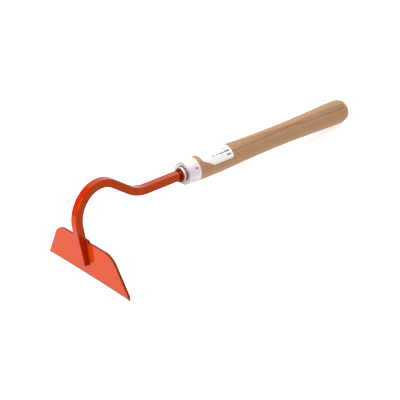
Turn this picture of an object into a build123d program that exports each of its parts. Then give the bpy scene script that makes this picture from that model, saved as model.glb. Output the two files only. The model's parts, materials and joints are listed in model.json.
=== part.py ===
"""Short-handled draw hoe: a forged gooseneck shank, a welded blade and a turned handle.

Every piece is drawn in the tool's own frame: x runs forward along the handle's
axis with x = 0 at the ferrule's front face, z is up and y is to the left.
The finished set is then tipped until the blade's two lower corners and the
butt of the handle stand on the floor, z = 0. Millimetres and degrees.
"""
from build123d import *
from math import asin, atan2, cos, degrees, hypot, radians, sin
import os

# Square bar of the shank
bar = 10.0
bar_corner_r = 0.9

# Gooseneck, from the ferrule to the toe
straight_run = 55.0
dip_r = 47.0
rise_angle = 35.5
rise_run = 26.0
crown_r = 30.0
crown_turn = 77.0
shoulder_r = 40.0
shoulder_turn = 57.0
leg_run = 49.0
foot_run = 30.0
foot_width = 12.8

# Collar and tang
collar_r = 8.3
collar_drop = 1.2
collar_start = 3.4
collar_length = 2.6
collar_edge_r = 0.9
tang_length = 62.0
tang_tip = 3.0

# Blade
blade_x = 143.3
blade_z = -81.5
blade_lean = 4.3
blade_thick = 3.0
blade_edge_width = 151.6
blade_top_width = 99.0
blade_height = 47.6
blade_shoulder_r = 20.0
blade_corner_r = 0.3
edge_arch = 1.9
spur_run = 4.5
spur_rise = 1.2
bevel_width = 4.5
bevel_land = 0.8

# Weld beads
bead_r = 2.3
bead_end_gap = 1.0
top_bead_depth = 1.5
toe_bead_r = 1.6
toe_bead_drop = 0.6

# Ferrule
ferrule_length = 17.5
ferrule_back_r = 15.2
ferrule_front_r = 13.9
ferrule_wall = 1.0
ferrule_rim_r = 0.45
ferrule_dish = 1.0
neck_r = 9.0
neck_length = 3.3

# Ferrule nail
nail_x = -12.3
nail_angle = 32.5
nail_head_r = 1.3
nail_head_thick = 0.7
nail_shaft_r = 0.7
nail_length = 9.0
nail_proud = 0.3

# Handle radii along the axis
handle_length = 271.6
neck_end_r = 14.9
neck_slope = -0.03
belly_x = -42.0
belly_r = 15.25
belly_back = (-63.0, 14.9)
front_taper = (-98.0, 13.85)
waist_r = 13.15
waist_front = -142.0
waist_back = -168.0
rear_taper = (-192.0, 13.62)
rear_flare = (-225.0, 14.55)
butt_r = 15.4
butt_round_r = 26.5
butt_round_run = 10.8
butt_edge_r = 1.6
seat_gap = 0.05

# Paper label, as an outline seen along its middle direction
label_front = -24.4
label_back = -70.2
label_low_angle = 16.5
label_high_angle = 140.0
label_clip_angle = 50.0
label_clip_run = 13.9
label_corner_r = 2.5
label_thick = 0.15

side_view = Plane.XZ


def gooseneck_line():
    """Centreline of the bar in side view: straight, dip, rise, crown, shoulder, leg."""
    straight = Line((collar_start, 0), (straight_run, 0))
    dip = JernArc(straight @ 1, straight % 1, dip_r, rise_angle)
    rise = PolarLine(dip @ 1, rise_run, direction=dip % 1)
    crown = JernArc(rise @ 1, rise % 1, crown_r, -crown_turn)
    shoulder = JernArc(crown @ 1, crown % 1, shoulder_r, -shoulder_turn)
    leg = PolarLine(shoulder @ 1, leg_run - foot_run, direction=shoulder % 1)
    return side_view * Wire([straight, dip, rise, crown, shoulder, leg])


def blade_face():
    """The blade's front face: x local across, y local up the blade, z local forward."""
    lean = radians(blade_lean)
    return Plane((blade_x, 0, blade_z), x_dir=(0, 1, 0), z_dir=(cos(lean), 0, -sin(lean)))


def blade_outline():
    """Trapezium with round shoulders and a faintly arched edge that ends in pointed corners."""
    half_edge = blade_edge_width / 2
    half_top = blade_top_width / 2
    half_arch = half_edge - spur_run
    edge = ThreePointArc((-half_arch, spur_rise), (0, edge_arch), (half_arch, spur_rise))
    sides = Polyline(
        (half_arch, spur_rise),
        (half_edge, 0),
        (half_top, blade_height),
        (-half_top, blade_height),
        (-half_edge, 0),
        (-half_arch, spur_rise),
    )
    face = make_face(Wire([edge, *sides.edges()]).edges())
    shoulders = face.vertices().group_by(Axis.Y)[-1]
    face = fillet(shoulders, blade_shoulder_r)
    corners = face.vertices().group_by(Axis.Y)[0]
    return fillet(corners, blade_corner_r)


def make_blade():
    plate = extrude(blade_face() * blade_outline(), -blade_thick)
    slope = degrees(atan2(blade_thick - bevel_land, bevel_width))
    grinding = blade_face() * Pos(0, 0, -bevel_land) * Rot(X=-slope)
    stone = grinding * Box(2 * blade_edge_width, 4 * bevel_width, 4 * bevel_width,
                           align=(Align.CENTER, Align.CENTER, Align.MAX))
    return plate - stone


def behind_blade_face():
    """The space behind the blade's front face: the foot is ground flat against it."""
    return blade_face() * Box(
        3 * bar, blade_height, bar, align=(Align.CENTER, Align.MIN, Align.MAX))


def make_foot(line):
    """The last of the leg, drawn out wider where it lies on the blade."""
    heading = line % 1
    top = Plane(line @ 1, x_dir=(0, 1, 0), z_dir=heading)
    toe = Plane((line @ 1) + heading * foot_run, x_dir=(0, 1, 0), z_dir=heading)
    upper = top * RectangleRounded(bar, bar, bar_corner_r)
    lower = toe * RectangleRounded(foot_width, bar, bar_corner_r)
    return loft([upper, lower])


def make_tang():
    front = Plane((collar_start, 0, 0), x_dir=(0, 1, 0), z_dir=(-1, 0, 0))
    tip = Plane((-tang_length, 0, 0), x_dir=(0, 1, 0), z_dir=(-1, 0, 0))
    return loft([front * Rectangle(bar, bar), tip * Rectangle(tang_tip, tang_tip)])


def make_collar():
    across = Plane((collar_start, 0, -collar_drop), x_dir=(0, 1, 0), z_dir=(1, 0, 0))
    ring = extrude(across * Circle(collar_r), collar_length)
    return fillet(ring.edges().filter_by(GeomType.CIRCLE), collar_edge_r)


def make_shank():
    line = gooseneck_line()
    section = Plane(line @ 0, x_dir=(0, 1, 0), z_dir=line % 0) * RectangleRounded(bar, bar, bar_corner_r)
    neck = sweep(section, line)
    body = neck + make_foot(line) + make_collar() + make_tang()
    return body - behind_blade_face()


def bead(start, end, radius):
    """A round-ended run of weld metal from start to end."""
    run = Line(start, end)
    rod = sweep(Plane(run @ 0, z_dir=run % 0) * Circle(radius), run)
    return rod + Pos(*start) * Sphere(radius) + Pos(*end) * Sphere(radius)


def make_side_bead(shank):
    """Bead in the corner between the right side of the foot and the blade's face."""
    face = blade_face()
    top = face.from_local_coords((-bar / 2, blade_height - bead_r, 0))
    toe = face.from_local_coords((-foot_width / 2, toe_height() + bead_end_gap, 0))
    return bead(tuple(top), tuple(toe), bead_r) - shank - behind_blade_face()


def toe_height():
    """How far up the blade the shank's toe ends."""
    line = gooseneck_line()
    toe = (line @ 1) + (line % 1) * foot_run
    return blade_face().to_local_coords(toe).Y


def make_top_bead(shank, blade):
    """Bead along the blade's top edge, behind the bar."""
    face = blade_face()
    left = face.from_local_coords((bar / 2, blade_height, -top_bead_depth))
    right = face.from_local_coords((-bar / 2, blade_height, -top_bead_depth))
    return bead(tuple(left), tuple(right), bead_r) - shank - blade


def make_toe_bead(shank):
    """Bead across the end of the foot."""
    face = blade_face()
    reach = foot_width / 2 - toe_bead_r
    height = toe_height() - toe_bead_drop
    left = face.from_local_coords((reach, height, 0))
    right = face.from_local_coords((-reach, height, 0))
    return bead(tuple(left), tuple(right), toe_bead_r) - shank - behind_blade_face()


def make_ferrule():
    """Drawn steel cap: tapered skirt, faintly dished front and a short neck round the tang."""
    wall = ferrule_wall
    profile = Polyline(
        (-ferrule_length, ferrule_back_r - wall),
        (-ferrule_length, ferrule_back_r),
        (0, ferrule_front_r),
        (-ferrule_dish, neck_r),
        (neck_length, neck_r),
        (neck_length, neck_r - wall),
        (-wall - ferrule_dish, neck_r - wall),
        (-wall, ferrule_front_r - wall),
        close=True,
    )
    cap = revolve(side_view * make_face(profile.edges()), Axis.X)
    circles = cap.edges().filter_by(GeomType.CIRCLE)
    front_rim = circles.filter_by(lambda e: abs(e.radius - ferrule_front_r) < ferrule_rim_r)
    neck_rim = circles.group_by(Axis.X)[-1].sort_by(SortBy.RADIUS)[-1]
    return fillet([*front_rim, neck_rim], ferrule_rim_r)


def radial_plane(x, angle, radius):
    """Plane facing outward from the handle's axis at the given place."""
    out = (0, cos(radians(angle)), sin(radians(angle)))
    return Plane((x, radius * out[1], radius * out[2]), x_dir=(1, 0, 0), z_dir=out)


def ferrule_radius(x):
    return ferrule_front_r + (ferrule_back_r - ferrule_front_r) * (-x / ferrule_length)


def make_nail():
    surface = radial_plane(nail_x, nail_angle, ferrule_radius(nail_x) + nail_proud)
    head = extrude(surface * Circle(nail_head_r), -nail_head_thick)
    head = fillet(head.edges().group_by(Axis((0, 0, 0), surface.z_dir))[-1], nail_proud)
    shaft = extrude(surface * Circle(nail_shaft_r), -nail_length)
    return head + shaft


def front_swell():
    """Handle profile from the waist forward to the ferrule."""
    return Spline(
        (waist_front, waist_r),
        front_taper,
        belly_back,
        (belly_x, belly_r),
        (-ferrule_length, neck_end_r),
        tangents=[(1, 0), (1, neck_slope)],
    )


def rear_swell():
    """Handle profile from the butt's rounding forward to the waist."""
    return Spline(
        (butt_round_run - handle_length, butt_r),
        rear_flare,
        rear_taper,
        (waist_back, waist_r),
        tangents=[(1, 0), (1, 0)],
    )


def make_handle(tang, nail):
    turn = degrees(asin(butt_round_run / butt_round_r))
    rear = rear_swell()
    rounding = JernArc(rear @ 0, (-1, 0), butt_round_r, turn)
    wall = ferrule_wall + seat_gap
    front = front_swell()
    nose = Polyline(
        front @ 1,
        (-ferrule_length, ferrule_back_r - wall),
        (-wall - ferrule_dish, ferrule_front_r - wall),
        (-wall - ferrule_dish, 0),
        ((rounding @ 1).X, 0),
        rounding @ 1,
    )
    waist = Line(rear @ 1, front @ 0)
    profile = Wire([rounding, rear, waist, front, *nose.edges()])
    turned = revolve(side_view * make_face(profile.edges()), Axis.X)
    rim = turned.edges().filter_by(GeomType.CIRCLE).sort_by(Axis.X)[0]
    turned = fillet(rim, butt_edge_r)
    return turned - tang - nail


def label_skin():
    """A skin of the paper's thickness over the handle's belly."""
    under = front_swell()
    over = Pos(0, label_thick) * under
    ends = [Line(under @ 0, over @ 0), Line(under @ 1, over @ 1)]
    return revolve(side_view * make_face([*under.edges(), *over.edges(), *ends]), Axis.X)


def make_label():
    middle = (label_low_angle + label_high_angle) / 2
    half_span = radians(label_high_angle - middle)
    reach = belly_r * sin(half_span)
    clip = belly_r * sin(radians(label_clip_angle - middle))
    outline = Polyline(
        (label_back, -reach),
        (label_front - label_clip_run, -reach),
        (label_front, clip),
        (label_front, -clip),
        (label_front - label_clip_run, reach),
        (label_back, reach),
        close=True,
    )
    sheet = make_face(outline.edges())
    sheet = fillet(sheet.vertices().group_by(Axis.X)[0], label_corner_r)
    looking_down = Plane((0, 0, 0), x_dir=(1, 0, 0),
                         z_dir=(0, cos(radians(middle)), sin(radians(middle))))
    return extrude(looking_down * sheet, 2 * belly_r) & label_skin()


def resting_tilt():
    """Angle that brings the blade's corners and the butt's rounding onto one floor."""
    ahead = blade_x - (butt_round_run - handle_length)
    below = (butt_round_r - butt_r) - blade_z
    return degrees(atan2(below, ahead) - asin(butt_round_r / hypot(ahead, below)))


def make_pieces():
    blade = make_blade()
    shank = make_shank()
    nail = make_nail()
    side_weld = make_side_bead(shank)
    return {
        "blade": blade,
        "gooseneck_shank": shank,
        "weld_side": side_weld,
        "weld_top": make_top_bead(shank, blade) - side_weld,
        "weld_toe": make_toe_bead(shank) - side_weld,
        "ferrule": make_ferrule() - nail,
        "ferrule_nail": nail,
        "handle": make_handle(make_tang(), nail),
        "label": make_label(),
    }


pieces = make_pieces()
tipped = {name: Rot(Y=-resting_tilt()) * piece for name, piece in pieces.items()}
box = Compound(children=[Compound(p.solids()) for p in tipped.values()]).bounding_box()
to_floor = Pos(-(box.min.X + box.max.X) / 2, 0, -box.min.Z)

os.makedirs("parts", exist_ok=True)
for name, piece in tipped.items():
    export_step(to_floor * piece, f"parts/{name}.step")
print("resting tilt", round(resting_tilt(), 3))
print("origin shift", to_floor.position)
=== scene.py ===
"""Looks for the hand draw hoe: enamelled steel, zinc ferrule, bare wooden handle, paper label."""

import json
import math

import bmesh
import bpy
from mathutils import Matrix, Vector, noise
from mathutils.bvhtree import BVHTree


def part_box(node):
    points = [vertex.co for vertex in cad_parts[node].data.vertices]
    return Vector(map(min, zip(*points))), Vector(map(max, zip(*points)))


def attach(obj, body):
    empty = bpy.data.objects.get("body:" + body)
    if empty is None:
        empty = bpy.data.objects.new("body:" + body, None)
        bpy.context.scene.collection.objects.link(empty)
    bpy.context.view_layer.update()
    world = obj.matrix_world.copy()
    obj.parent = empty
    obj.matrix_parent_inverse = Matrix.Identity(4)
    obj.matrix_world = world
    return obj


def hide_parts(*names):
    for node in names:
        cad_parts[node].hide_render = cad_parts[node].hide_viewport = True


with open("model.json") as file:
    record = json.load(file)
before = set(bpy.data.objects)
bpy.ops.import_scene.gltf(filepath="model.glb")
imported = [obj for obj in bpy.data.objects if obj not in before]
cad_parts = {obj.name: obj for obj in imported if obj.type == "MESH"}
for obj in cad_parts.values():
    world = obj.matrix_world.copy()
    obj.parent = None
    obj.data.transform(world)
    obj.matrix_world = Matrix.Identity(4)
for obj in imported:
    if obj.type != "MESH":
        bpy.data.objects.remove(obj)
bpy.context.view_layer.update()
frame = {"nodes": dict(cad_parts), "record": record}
nodes = frame["nodes"]
mounts = {m["name"]: m for m in frame["record"]["mounts"]}
MM = 0.001

# The handle's axis, from the butt towards the ferrule
AXIS = Vector(mounts["handle_clip"]["axis"]).normalized()
BUTT = Vector(mounts["butt_end"]["pos_m"])
LEFT = Vector((0, 1, 0))
RAISED = AXIS.cross(LEFT)

# ---------------------------------------------------------------- sizes

# The ferrule, measured along the handle from the butt and out from its axis
FERRULE_FRONT = 271.6 * MM
FERRULE_BACK = 254.1 * MM
FERRULE_NECK_R = 9.0 * MM
FERRULE_RIM_R = 13.9 * MM
# How far in front of the ferrule the painted shade covers the bar
SHADED_BAR_END = 6.6 * MM

# The wood's pith lies up and to the left of the handle and leans a little along it
PITH = (29.2 * MM, 32.7 * MM)
PITH_LEAN = (0.067, 0.026)
FIRST_RING = 28.7 * MM
RING_WIDTH = 4.0 * MM
RING_START = 3.0 * MM
RING_DRIFT = 1.2 * MM

# The blade: pointed corners and a shallow bow between them, and how fast its sides lean in
SPUR_RUN = 4.5 * MM
SPUR_RISE = 1.2 * MM
EDGE_BOW = 0.7 * MM
SIDE_SLOPE = 0.553
SHOULDER_START = 28 * MM
SHOULDER_END = 34 * MM

# The welds, on a bar and a foot of these half widths. The top bead reaches further to the
# left than its CAD node and is thicker; the fit thins the other two
BAR_HALF = 5.0 * MM
FOOT_HALF = 6.4 * MM
RIPPLE_LENGTH = 1.7 * MM
RIPPLE_DEPTH = 0.16
SKIN_DEPTH, SKIN_SCALE = 0.16, 900
LUMP_REACH = 0.9 * MM
LUMP_SWELL = 1.12
BEAD_FIT = 0.97

# The label: distances from the butt and angles above the handle's left side, in degrees
LABEL_BACK, LABEL_FRONT = 201.4 * MM, 247.2 * MM
LABEL_LOW, LABEL_HIGH = 16.5, 140.0
LABEL_CLIP_RUN, LABEL_CLIP_RISE = 13.9 * MM, 33.5
LABEL_CORNER_R = 2.5
BELLY_R = 15.2
PAPER_THICK = 0.16 * MM
PAPER_GAP = 0.01 * MM
WELL_OUTSIDE = 50 * MM

# Greeked print: from and to along the label, from and to round it, in mm, then darkness
PRINTED_BARS = [
    (3.2, 10.4, 9.5, 11.3, 0.97),
    (2.8, 11.6, 10.3, 11.8, 0.80),
    (11.9, 19.6, 9.6, 11.0, 0.92),
    (21.4, 23.8, 9.7, 11.1, 0.92),
    (26.8, 28.0, 8.9, 12.0, 0.75),
    (29.6, 31.6, 9.6, 11.1, 0.85),
    (3.2, 9.6, 4.7, 6.6, 0.93),
    (6.0, 12.8, 14.6, 16.0, 0.62),
    (13.0, 17.2, 18.0, 19.2, 0.42),
    (18.6, 25.4, 18.6, 19.8, 0.40),
    (5.2, 9.8, 18.6, 19.8, 0.55),
]


# ---------------------------------------------------------------- colours

ENAMEL = (0.365, 0.0150, 0.001)
ENAMEL_DEEP = (0.33, 0.0115, 0.001)
# Painted light: the same enamel made lighter and more orange on the blade, standing in for its brighter
# sheen
BLADE_ENAMEL_LIT = (0.395, 0.0265, 0.001)
BLADE_DEEP_LIT = (0.365, 0.0215, 0.001)
# Painted shade: a darker copy of the enamel for the weld beads
SHADED_WELD_ENAMEL = (0.27, 0.009, 0.001)
ENAMEL_RIM = (0.175, 0.003, 0.0008)
# Painted shade: the dark enamel on the bar's end by the ferrule and in the weld beads
ENAMEL_SHADE = (0.14, 0.0035, 0.0006)
ENAMEL_GLOSS_TINT = (1.0, 0.92, 0.08, 1.0)
ENAMEL_IOR = 1.36
BARE_EDGE = (0.17, 0.085, 0.05)

ZINC_DULL, ZINC_BRIGHT = (0.66, 0.585, 0.595), (0.78, 0.70, 0.71)
ZINC_SMUDGE = (0.50, 0.44, 0.445)
ZINC_RIM = (0.22, 0.19, 0.18)
ZINC_CORNER = (0.17, 0.09, 0.06)
ZINC_TAIL = (0.80, 0.74, 0.66)
NAIL_DARK, NAIL_LIGHT = (0.05, 0.04, 0.04), (0.16, 0.14, 0.13)

WOOD_PINK = (0.415, 0.208, 0.100)
WOOD_YELLOW = (0.392, 0.220, 0.086)
WOOD_LIGHT = (0.44, 0.25, 0.125)
WOOD_DARK = (0.29, 0.145, 0.064)
WOOD_LATE = (0.165, 0.078, 0.036)
WOOD_PORE = (0.15, 0.072, 0.034)

PAPER_DULL, PAPER_BRIGHT = (0.74, 0.735, 0.70), (0.80, 0.795, 0.765)
INK = (0.10, 0.10, 0.105)
FLOOR_DULL, FLOOR_BRIGHT = (0.53, 0.53, 0.525), (0.55, 0.55, 0.545)


# ---------------------------------------------------------------- camera and light

CAMERA_AIM = Vector((0.03946, 0.00540, 0.01358))
CAMERA_AZIMUTH, CAMERA_ELEVATION, CAMERA_ROLL = 53.273, 33.556, -9.155
CAMERA_DISTANCE = 1.59719
CAMERA_LENS = 120.06
FLOOR_RADIUS = 1.12
FLOOR_GLOW = 0.72
FLOOR_MIRRORED = 1.3
ROOM_STRENGTH = 1.45

# The room goes from dim to white by the cosine of the angle from its bright side
ROOM_BRIGHT_SIDE = (-175, 25)
ROOM_DIM_BELOW, ROOM_WHITE_ABOVE = 0.28, 0.45
ROOM_DIM = (0.05, 0.05, 0.05, 1)
ROOM_WHITE = (1, 1, 1, 1)


def on_handle(along, angle, radius):
    """A point at a distance from the butt, an angle above the left side and a radius from the axis."""
    turn = math.radians(angle)
    return BUTT + AXIS * along + (LEFT * math.cos(turn) + RAISED * math.sin(turn)) * radius


# ---------------------------------------------------------------- node helpers

class Shader:
    """A material with a Principled surface and a short way to add and link nodes."""

    def __init__(self, name):
        self.material = bpy.data.materials.new(name)
        self.material.use_nodes = True
        self.tree = self.material.node_tree
        self.surface = next(n for n in self.tree.nodes if n.type == "BSDF_PRINCIPLED")

    def add(self, kind, **settings):
        node = self.tree.nodes.new(kind)
        for key, value in settings.items():
            setattr(node, key, value)
        return node

    def link(self, source, target):
        self.tree.links.new(source, target)

    def feed(self, value, socket):
        if isinstance(value, bpy.types.NodeSocket):
            self.link(value, socket)
        else:
            socket.default_value = value

    def math(self, operation, a, b=0.0):
        node = self.add("ShaderNodeMath", operation=operation)
        self.feed(a, node.inputs[0])
        self.feed(b, node.inputs[1])
        return node.outputs[0]

    def position(self):
        return self.add("ShaderNodeTexCoord").outputs["Object"]

    def handle_space(self):
        """Position measured from the butt, with x along the handle's axis."""
        local = self.add("ShaderNodeMapping", vector_type="TEXTURE")
        self.link(self.position(), local.inputs["Vector"])
        local.inputs["Location"].default_value = BUTT
        local.inputs["Rotation"].default_value = (0, -math.asin(AXIS.z), 0)
        return local.outputs[0]

    def length(self, a, b):
        squares = self.math("ADD", self.math("MULTIPLY", a, a), self.math("MULTIPLY", b, b))
        return self.math("SQRT", squares)

    def past_span(self, value, low, high):
        """How far a value lies outside a span; negative inside it."""
        off_middle = self.math("ABSOLUTE", self.math("SUBTRACT", value, (low + high) / 2))
        return self.math("SUBTRACT", off_middle, (high - low) / 2)

    def split(self, vector):
        node = self.add("ShaderNodeSeparateXYZ")
        self.link(vector, node.inputs[0])
        return node.outputs

    def scaled(self, vector, factors):
        node = self.add("ShaderNodeVectorMath", operation="MULTIPLY")
        self.link(vector, node.inputs[0])
        node.inputs[1].default_value = factors
        return node.outputs[0]

    def noise(self, vector, scale, detail=3.0, roughness=0.5):
        node = self.add("ShaderNodeTexNoise")
        self.link(vector, node.inputs["Vector"])
        node.inputs["Scale"].default_value = scale
        node.inputs["Detail"].default_value = detail
        node.inputs["Roughness"].default_value = roughness
        return node.outputs["Fac"]

    def stretched(self, vector, factors, detail, roughness=0.5):
        """Noise with its own scale for each axis."""
        return self.noise(self.scaled(vector, factors), 1.0, detail, roughness)

    def ramp(self, value, stops):
        node = self.add("ShaderNodeValToRGB")
        self.link(value, node.inputs[0])
        band = node.color_ramp
        while len(band.elements) < len(stops):
            band.elements.new(0.5)
        for element, (place, colour) in zip(band.elements, stops):
            element.position = place
            element.color = (*colour, 1.0)
        return node.outputs["Color"]

    def mix(self, factor, a, b):
        node = self.add("ShaderNodeMix", data_type="RGBA")
        self.feed(factor, node.inputs["Factor"])
        for value, name in ((a, "A_Color"), (b, "B_Color")):
            if isinstance(value, tuple):
                value = (*value, 1.0)
            self.feed(value, next(x for x in node.inputs if x.identifier == name))
        return next(x for x in node.outputs if x.identifier == "Result_Color")

    def step(self, value, low, high, start=0.0, end=1.0):
        node = self.add("ShaderNodeMapRange")
        self.link(value, node.inputs["Value"])
        for name, number in (("From Min", low), ("From Max", high), ("To Min", start), ("To Max", end)):
            node.inputs[name].default_value = number
        return node.outputs[0]

    def bump(self, height, strength, distance, under=None):
        node = self.add("ShaderNodeBump")
        node.inputs["Strength"].default_value = strength
        node.inputs["Distance"].default_value = distance
        self.link(height, node.inputs["Height"])
        if under is not None:
            self.link(under, node.inputs["Normal"])
        return node.outputs["Normal"]

    def set(self, **values):
        for name, value in values.items():
            self.feed(value, self.surface.inputs[name.replace("_", " ")])


# ---------------------------------------------------------------- materials

def enamel(name, fresh=ENAMEL, deep=ENAMEL_DEEP):
    """Glossy orange-red enamel with a faint orange peel."""
    s = Shader(name)
    where = s.position()
    cloud = s.noise(where, scale=90.0, detail=3.0)
    s.colour = s.mix(s.step(cloud, 0.35, 0.7), fresh, deep)
    s.rough = s.step(s.noise(where, scale=220.0, detail=3.0), 0.3, 0.7, 0.06, 0.11)
    peel = s.noise(where, scale=420.0, detail=2.0)
    s.set(IOR=ENAMEL_IOR, Normal=s.bump(peel, strength=0.10, distance=0.2 * MM))
    s.surface.inputs["Specular Tint"].default_value = ENAMEL_GLOSS_TINT
    return s


def shank_enamel(name):
    """Enamel with painted shade where the bar enters the ferrule."""
    s = enamel(name)
    along = s.split(s.handle_space())[0]
    start = FERRULE_FRONT + SHADED_BAR_END
    # Painted shade on the bar's end by the ferrule
    bar_end_shade = s.step(along, start, start + 2.4 * MM, 0.9, 0.0)
    s.set(Base_Color=s.mix(bar_end_shade, s.colour, ENAMEL_SHADE), Roughness=s.rough)
    return s.material


def blade_enamel(name):
    """Enamel with painted light, dark on the plate's thin faces, worn to steel along its cutting edge and
    right side.
    """
    # The blade's lighter copy of the enamel is painted light
    s = enamel(name, BLADE_ENAMEL_LIT, BLADE_DEEP_LIT)
    where = s.position()
    _, y, z = s.split(where)
    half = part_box("blade")[1].y
    reach = s.math("ABSOLUTE", y)
    across = s.math("DIVIDE", y, half - SPUR_RUN)
    bow = s.math("MULTIPLY", s.math("SUBTRACT", 1.0, s.math("MULTIPLY", across, across)), EDGE_BOW)
    arch = s.math("ADD", bow, SPUR_RISE)
    spur = s.math("MULTIPLY", s.math("SUBTRACT", half, reach), SPUR_RISE / SPUR_RUN)
    above = s.math("SUBTRACT", z, s.math("MINIMUM", arch, spur))
    ragged = s.math("MULTIPLY", s.noise(where, scale=600.0, detail=5.0), 1.2 * MM)
    worn = s.step(s.math("SUBTRACT", above, ragged), 1.1 * MM, 2.0 * MM, 1.0, 0.0)
    inside = s.math("SUBTRACT", s.math("SUBTRACT", half, s.math("MULTIPLY", z, SIDE_SLOPE)), reach)
    chipped = s.step(s.math("SUBTRACT", inside, ragged), 0.3 * MM, 1.1 * MM, 0.7, 0.0)
    chipped = s.math("MULTIPLY", chipped, s.step(z, SHOULDER_START, SHOULDER_END, 1.0, 0.0))
    chipped = s.math("MULTIPLY", chipped, s.step(y, -1 * MM, 1 * MM, 1.0, 0.0))
    worn = s.math("MAXIMUM", worn, chipped)
    facing = s.split(s.add("ShaderNodeTexCoord").outputs["Normal"])[0]
    rim = s.step(s.math("ABSOLUTE", facing), 0.5, 0.8, 1.0, 0.0)
    colour = s.mix(s.math("MULTIPLY", worn, 0.85), s.mix(rim, s.colour, ENAMEL_RIM), BARE_EDGE)
    s.set(Base_Color=colour, Roughness=s.math("ADD", s.rough, s.math("MULTIPLY", worn, 0.35)))
    return s.material


def shaded_weld_enamel(name):
    """Enamel over the weld metal, painted darker as shade on the beads."""
    # Painted shade: the beads get the darker enamel
    s = enamel(name, SHADED_WELD_ENAMEL, ENAMEL_SHADE)
    s.set(Base_Color=s.colour, Roughness=s.rough)
    return s.material


def zinc(name):
    """Bright zinc plate: faint spangle, soft streaks, painted shade in the rolled rim and round the neck,
    and a painted highlight along the back rim.
    """
    s = Shader(name)
    where = s.position()
    along, y, z = s.split(s.handle_space())
    out = s.length(y, z)
    spangle = s.noise(where, scale=240.0, detail=4.0, roughness=0.6)
    streak = s.noise(s.scaled(where, (1.0, 0.08, 0.08)), scale=900.0, detail=3.0)
    smudge = s.step(s.noise(where, scale=95.0, detail=3.0, roughness=0.55), 0.50, 0.68)
    tone = s.ramp(spangle, [(0.3, ZINC_DULL), (0.7, ZINC_BRIGHT)])
    tone = s.mix(s.math("MULTIPLY", smudge, 0.45), tone, ZINC_SMUDGE)
    # Painted shade: a dark line in the rolled front rim
    rim = s.math("MULTIPLY", s.step(along, FERRULE_FRONT - 1.1 * MM, FERRULE_FRONT - 0.5 * MM),
                 s.step(out, FERRULE_RIM_R - 1.0 * MM, FERRULE_RIM_R - 0.6 * MM))
    tone = s.mix(s.math("MULTIPLY", rim, 0.55), tone, ZINC_RIM)
    # Painted shade, tinted by the red collar, in the corner between the neck and the front face
    by_neck = s.step(out, FERRULE_NECK_R + 0.3 * MM, FERRULE_NECK_R + 1.1 * MM, 1.0, 0.0)
    by_face = s.step(along, FERRULE_FRONT + 0.3 * MM, FERRULE_FRONT + 1.3 * MM, 1.0, 0.0)
    corner = s.math("MULTIPLY", by_neck, by_face)
    tone = s.mix(s.math("MULTIPLY", corner, 0.9), tone, ZINC_CORNER)
    # Painted highlight: a lighter, creamier band along the back rim
    tail = s.step(along, FERRULE_BACK + 0.5 * MM, FERRULE_BACK + 1.1 * MM, 1.0, 0.0)
    tone = s.mix(s.math("MULTIPLY", tail, 0.7), tone, ZINC_TAIL)
    spangled = s.bump(spangle, strength=0.10, distance=0.2 * MM)
    s.set(Base_Color=tone, Metallic=1.0,
          Roughness=s.step(streak, 0.3, 0.7, 0.48, 0.60),
          Normal=s.bump(streak, strength=0.15, distance=0.05 * MM, under=spangled))
    return s.material


def nail_steel(name):
    """Dull dark steel with fine grime."""
    s = Shader(name)
    grime = s.noise(s.position(), scale=1800.0, detail=3.0)
    s.set(Base_Color=s.ramp(grime, [(0.3, NAIL_DARK), (0.7, NAIL_LIGHT)]),
          Metallic=0.8, Roughness=s.step(grime, 0.3, 0.7, 0.35, 0.6))
    return s.material


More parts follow.
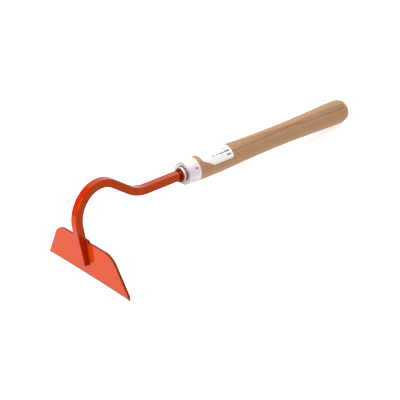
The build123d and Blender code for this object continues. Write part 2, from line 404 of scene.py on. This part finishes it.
def wood(name):
    """Turned hardwood: wide rings round a pith outside the handle, streaks, fibres and open pores."""
    s = Shader(name)
    grain = s.handle_space()
    x, y, z = s.split(grain)
    drift = s.math("SUBTRACT", s.stretched(grain, (9.0, 40.0, 40.0), detail=3.0), 0.5)
    pith_y = s.math("SUBTRACT", PITH[0], s.math("MULTIPLY", x, PITH_LEAN[0]))
    pith_z = s.math("ADD", s.math("MULTIPLY", x, PITH_LEAN[1]), PITH[1])
    radius = s.length(s.math("SUBTRACT", y, pith_y), s.math("SUBTRACT", z, pith_z))
    grown = s.math("ADD", s.math("ADD", radius, RING_START), s.math("MULTIPLY", drift, RING_DRIFT))
    year = s.math("FRACT", s.math("DIVIDE", grown, RING_WIDTH))
    late = s.split(s.ramp(year, [(0.0, (0, 0, 0)), (0.62, (0.10, 0.10, 0.10)), (0.86, (0.45, 0.45, 0.45)),
                                 (0.93, (1, 1, 1)), (0.985, (0, 0, 0))]))[0]
    blotch = s.stretched(grain, (25.0, 120.0, 120.0), detail=2.0)
    patchy = s.step(blotch, 0.30, 0.60, 0.55, 1.0)
    outer = s.step(radius, FIRST_RING + 1 * MM, FIRST_RING + 3 * MM, 0.95, 0.42)
    late = s.math("MULTIPLY", s.math("MULTIPLY", late, patchy), outer)
    warm = s.stretched(grain, (11.0, 230.0, 230.0), detail=3.0)
    broad = s.stretched(grain, (7.0, 75.0, 75.0), detail=3.0)
    fibre = s.stretched(grain, (70.0, 1700.0, 1700.0), detail=4.0, roughness=0.6)
    flecks = s.stretched(grain, (240.0, 2100.0, 2100.0), detail=2.0)
    pores = s.step(flecks, 0.58, 0.66)
    colour = s.mix(s.step(warm, 0.36, 0.64), WOOD_PINK, WOOD_YELLOW)
    colour = s.mix(s.step(broad, 0.35, 0.70, 0.0, 0.45), colour, WOOD_LIGHT)
    colour = s.mix(late, colour, WOOD_LATE)
    colour = s.mix(s.step(fibre, 0.38, 0.72, 0.0, 0.32), colour, WOOD_DARK)
    colour = s.mix(s.math("MULTIPLY", pores, 0.42), colour, WOOD_PORE)
    # Painted shade: a thin dark line on the wood just behind the ferrule's back edge
    ferrule_shade = s.step(x, FERRULE_BACK - 1.0 * MM, FERRULE_BACK - 0.3 * MM)
    colour = s.mix(s.math("MULTIPLY", ferrule_shade, 0.75), colour, WOOD_PORE)
    height = s.math("SUBTRACT", fibre, s.math("MULTIPLY", pores, 0.8))
    s.set(Base_Color=colour, IOR=1.45,
          Roughness=s.step(fibre, 0.3, 0.7, 0.48, 0.62),
          Normal=s.bump(height, strength=0.30, distance=0.10 * MM))
    return s.material


def paper(name):
    """Matt white sticker with greeked grey bars; u runs along the handle, v round it, in millimetres."""
    s = Shader(name)
    uv = s.add("ShaderNodeUVMap").outputs[0]
    u, v, _ = s.split(uv)
    ink = None
    for left, right, low, high, depth in PRINTED_BARS:
        across = s.past_span(u, left, right)
        around = s.past_span(v, low, high)
        bar = s.step(s.math("MAXIMUM", across, around), -0.12, 0.12, depth, 0.0)
        ink = bar if ink is None else s.math("MAXIMUM", ink, bar)
    fibre = s.noise(s.position(), scale=2500.0, detail=4.0)
    white = s.ramp(fibre, [(0.3, PAPER_DULL), (0.7, PAPER_BRIGHT)])
    s.set(Base_Color=s.mix(ink, white, INK), IOR=1.45,
          Roughness=s.step(ink, 0.0, 1.0, 0.55, 0.40),
          Normal=s.bump(fibre, strength=0.10, distance=0.03 * MM))
    return s.material


# ---------------------------------------------------------------- meshes

def dress(obj, material, slot, *replaced):
    """Gives a new piece its material and its body, and hides the CAD nodes that it stands for."""
    obj.data.materials.clear()
    obj.data.materials.append(material)
    for polygon in obj.data.polygons:
        polygon.use_smooth = True
    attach(obj, "root")
    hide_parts(*replaced)
    return obj


def new_object(name, mesh):
    obj = bpy.data.objects.new(name, mesh)
    bpy.context.scene.collection.objects.link(obj)
    return obj


def make_label(material):
    """Paper on the handle's belly: a grid laid on the wood, clipped at its two front corners."""
    depsgraph = bpy.context.evaluated_depsgraph_get()
    tree = BVHTree.FromObject(nodes["handle"], depsgraph)
    columns, rows = 92, 84
    mesh = bmesh.new()
    layer = mesh.loops.layers.uv.new("print")
    places = {}
    arc = math.radians(1) * BELLY_R

    def lay(along, angle, lift):
        out = on_handle(along, angle, WELL_OUTSIDE)
        inward = (on_handle(along, angle, 0.0) - out).normalized()
        hit = tree.ray_cast(out, inward)[0]
        return hit - inward * lift

    middle = (LABEL_LOW + LABEL_HIGH) / 2
    for i in range(columns + 1):
        share = i / columns
        along = LABEL_BACK + (LABEL_FRONT - LABEL_BACK) * share
        short = max(0.0, (along - (LABEL_FRONT - LABEL_CLIP_RUN)) / LABEL_CLIP_RUN) * LABEL_CLIP_RISE
        back = along - LABEL_BACK
        if back < LABEL_CORNER_R * MM:
            inset = LABEL_CORNER_R - back / MM
            short = (LABEL_CORNER_R - math.sqrt(max(0.0, LABEL_CORNER_R ** 2 - inset ** 2))) / arc
        for j in range(rows + 1):
            around = -1 + 2 * j / rows
            angle = middle + around * ((LABEL_HIGH - LABEL_LOW) / 2 - short)
            for side, lift in (("top", PAPER_THICK), ("under", PAPER_GAP)):
                places[side, i, j] = mesh.verts.new(lay(along, angle, lift))
                places["uv", i, j] = (back / MM, (angle - LABEL_LOW) * arc)

    def face(corners):
        made = mesh.faces.new([places[c] for c in corners])
        for loop, (_, i, j) in zip(made.loops, corners):
            loop[layer].uv = places["uv", i, j]

    for i in range(columns):
        for j in range(rows):
            ring = [(i, j), (i + 1, j), (i + 1, j + 1), (i, j + 1)]
            face([("top", *c) for c in ring])
            face([("under", *c) for c in reversed(ring)])
    rim = [(i, 0) for i in range(columns)] + [(columns, j) for j in range(rows)]
    rim += [(i, rows) for i in range(columns, 0, -1)] + [(0, j) for j in range(rows, 0, -1)]
    for a, b in zip(rim, rim[1:] + rim[:1]):
        face([("top", *b), ("top", *a), ("under", *a), ("under", *b)])
    bmesh.ops.recalc_face_normals(mesh, faces=mesh.faces)
    data = bpy.data.meshes.new("paper_label")
    mesh.to_mesh(data)
    return dress(new_object("paper_label", data), material, "paper", "label")


def weld_bead(name, node, start, end, radius, material):
    """A run of weld metal from start to end: overlapping ripples, a rough skin and round ends."""
    run = end - start
    total = run.length + 2 * radius
    heading = run.normalized()
    side = heading.orthogonal().normalized()
    up = heading.cross(side)
    rings, spokes = 72, 28
    mesh = bmesh.new()
    loops = []
    for i in range(1, rings):
        travel = total * i / rings - radius
        past = max(0.0, -travel, travel - run.length) / radius
        taper = math.sqrt(1 - past * past)
        ripple = 1 - RIPPLE_DEPTH * (1 - (travel / RIPPLE_LENGTH) % 1) ** 2
        centre = start + heading * travel
        loop = []
        for j in range(spokes):
            turn = math.tau * j / spokes
            out = side * math.cos(turn) + up * math.sin(turn)
            rough = 1 + SKIN_DEPTH * noise.noise((centre + out * radius) * SKIN_SCALE)
            loop.append(mesh.verts.new(centre + out * radius * taper * ripple * rough))
        loops.append(loop)
    for a, b in zip(loops, loops[1:]):
        for j in range(spokes):
            k = (j + 1) % spokes
            mesh.faces.new((a[j], a[k], b[k], b[j]))
    mesh.faces.new(loops[0][::-1])
    mesh.faces.new(loops[-1])
    bmesh.ops.recalc_face_normals(mesh, faces=mesh.faces)
    data = bpy.data.meshes.new(name)
    mesh.to_mesh(data)
    return dress(new_object(name, data), material, "red_enamel", node)


def make_welds(material):
    """The three beads, each laid out from the box of the CAD node it replaces."""
    lo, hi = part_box("weld_top")
    middle = (lo + hi) / 2
    radius = (hi.y - lo.y) / 2 - BAR_HALF
    left = Vector((middle.x, BAR_HALF + LUMP_REACH, middle.z + LUMP_REACH / 2))
    right = Vector((middle.x, -BAR_HALF, middle.z))
    weld_bead("weld_top_bead", "weld_top", left, right, radius * LUMP_SWELL, material)
    lo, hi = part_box("weld_toe")
    radius = (hi.x - lo.x) * BEAD_FIT
    left, right = (Vector((lo.x, side * (hi.y - radius), (lo.z + hi.z) / 2)) for side in (1, -1))
    weld_bead("weld_toe_bead", "weld_toe", left, right, radius, material)
    lo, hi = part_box("weld_side")
    radius = -FOOT_HALF - lo.y
    top = Vector((lo.x + 0.2 * MM, -BAR_HALF, hi.z - radius))
    toe = Vector((hi.x - radius, -FOOT_HALF, lo.z + radius))
    weld_bead("weld_side_bead", "weld_side", top, toe, radius * BEAD_FIT, material)


# ---------------------------------------------------------------- studio

def direction(azimuth, elevation):
    """Unit vector at an azimuth, measured from +X towards +Y, and an elevation, in degrees."""
    a, e = math.radians(azimuth), math.radians(elevation)
    return Vector((math.cos(a) * math.cos(e), math.sin(a) * math.cos(e), math.sin(e)))


def make_camera():
    """Long lens, placed by direction and distance from the point it looks at."""
    back = direction(CAMERA_AZIMUTH, CAMERA_ELEVATION)
    data = bpy.data.cameras.new("camera")
    data.lens = CAMERA_LENS
    camera = bpy.data.objects.new("camera", data)
    level = (-back).to_track_quat("-Z", "Y").to_matrix().to_4x4()
    roll = Matrix.Rotation(math.radians(CAMERA_ROLL), 4, "Z")
    camera.matrix_world = Matrix.Translation(CAMERA_AIM + back * CAMERA_DISTANCE) @ level @ roll
    bpy.context.scene.collection.objects.link(camera)
    bpy.context.scene.camera = camera


def soft_light(name, azimuth, elevation, distance, size, power):
    """Round lamp aimed at the origin; angles in degrees, lengths in metres, power in watts."""
    data = bpy.data.lights.new(name, "AREA")
    data.shape = "DISK"
    data.size = size
    data.energy = power
    lamp = bpy.data.objects.new(name, data)
    out = direction(azimuth, elevation)
    aimed = out.to_track_quat("Z", "Y").to_matrix().to_4x4()
    lamp.matrix_world = Matrix.Translation(out * distance) @ aimed
    lamp.visible_camera = False
    bpy.context.scene.collection.objects.link(lamp)


def make_floor():
    """White floor that glows a little and looks evenly bright in reflections."""
    s = Shader("floor")
    grain = s.noise(s.position(), scale=30.0, detail=2.0)
    s.set(Base_Color=s.ramp(grain, [(0.3, FLOOR_DULL), (0.7, FLOOR_BRIGHT)]), Roughness=0.8)
    s.surface.inputs["Emission Color"].default_value = (1.0, 1.0, 1.0, 1.0)
    s.surface.inputs["Emission Strength"].default_value = FLOOR_GLOW
    mirrored = s.add("ShaderNodeEmission")
    mirrored.inputs["Strength"].default_value = FLOOR_MIRRORED
    choose = s.add("ShaderNodeMixShader")
    s.link(s.add("ShaderNodeLightPath").outputs["Is Glossy Ray"], choose.inputs[0])
    s.link(s.surface.outputs[0], choose.inputs[1])
    s.link(mirrored.outputs[0], choose.inputs[2])
    output = next(n for n in s.tree.nodes if n.type == "OUTPUT_MATERIAL")
    s.link(choose.outputs[0], output.inputs["Surface"])
    mesh = bmesh.new()
    bmesh.ops.create_circle(mesh, cap_ends=True, radius=FLOOR_RADIUS, segments=128)
    data = bpy.data.meshes.new("floor")
    mesh.to_mesh(data)
    data.materials.append(s.material)
    new_object("floor", data)


def make_world():
    """Pale room: bright beyond the butt, dim elsewhere, plain white to the camera."""
    world = bpy.data.worlds.new("room")
    world.use_nodes = True
    bpy.context.scene.world = world
    tree = world.node_tree
    background = tree.nodes["Background"]
    where = tree.nodes.new("ShaderNodeTexCoord")
    towards = tree.nodes.new("ShaderNodeVectorMath")
    towards.operation = "DOT_PRODUCT"
    towards.inputs[1].default_value = direction(*ROOM_BRIGHT_SIDE)
    tree.links.new(where.outputs["Generated"], towards.inputs[0])
    ramp = tree.nodes.new("ShaderNodeValToRGB")
    tree.links.new(towards.outputs["Value"], ramp.inputs[0])
    band = ramp.color_ramp
    band.elements[0].position, band.elements[0].color = ROOM_DIM_BELOW, ROOM_DIM
    band.elements[1].position, band.elements[1].color = ROOM_WHITE_ABOVE, ROOM_WHITE
    tree.links.new(ramp.outputs[0], background.inputs["Color"])
    background.inputs["Strength"].default_value = ROOM_STRENGTH
    seen = tree.nodes.new("ShaderNodeBackground")
    seen.inputs["Color"].default_value = ROOM_WHITE
    seen.inputs["Strength"].default_value = 1.0
    rays = tree.nodes.new("ShaderNodeLightPath")
    choose = tree.nodes.new("ShaderNodeMixShader")
    tree.links.new(rays.outputs["Is Camera Ray"], choose.inputs[0])
    tree.links.new(background.outputs[0], choose.inputs[1])
    tree.links.new(seen.outputs[0], choose.inputs[2])
    tree.links.new(choose.outputs[0], tree.nodes["World Output"].inputs["Surface"])


def make_studio():
    make_camera()
    make_floor()
    make_world()
    soft_light("key", azimuth=-6, elevation=33, distance=1.3, size=0.7, power=20.7)
    soft_light("overhead", azimuth=-100, elevation=72, distance=1.7, size=1.3, power=10)
    bpy.context.scene.view_settings.view_transform = "Standard"


# ---------------------------------------------------------------- assembly

LOOKS = {
    "gooseneck_shank": shank_enamel("shank_enamel"),
    "blade": blade_enamel("blade_enamel"),
    "ferrule": zinc("zinc_plate"),
    "ferrule_nail": nail_steel("nail_steel"),
    "handle": wood("handle_wood"),
}
for name, material in LOOKS.items():
    nodes[name].data.materials.clear()
    nodes[name].data.materials.append(material)
make_welds(shaded_weld_enamel("shaded_weld_enamel"))
make_label(paper("label_paper"))
make_studio()
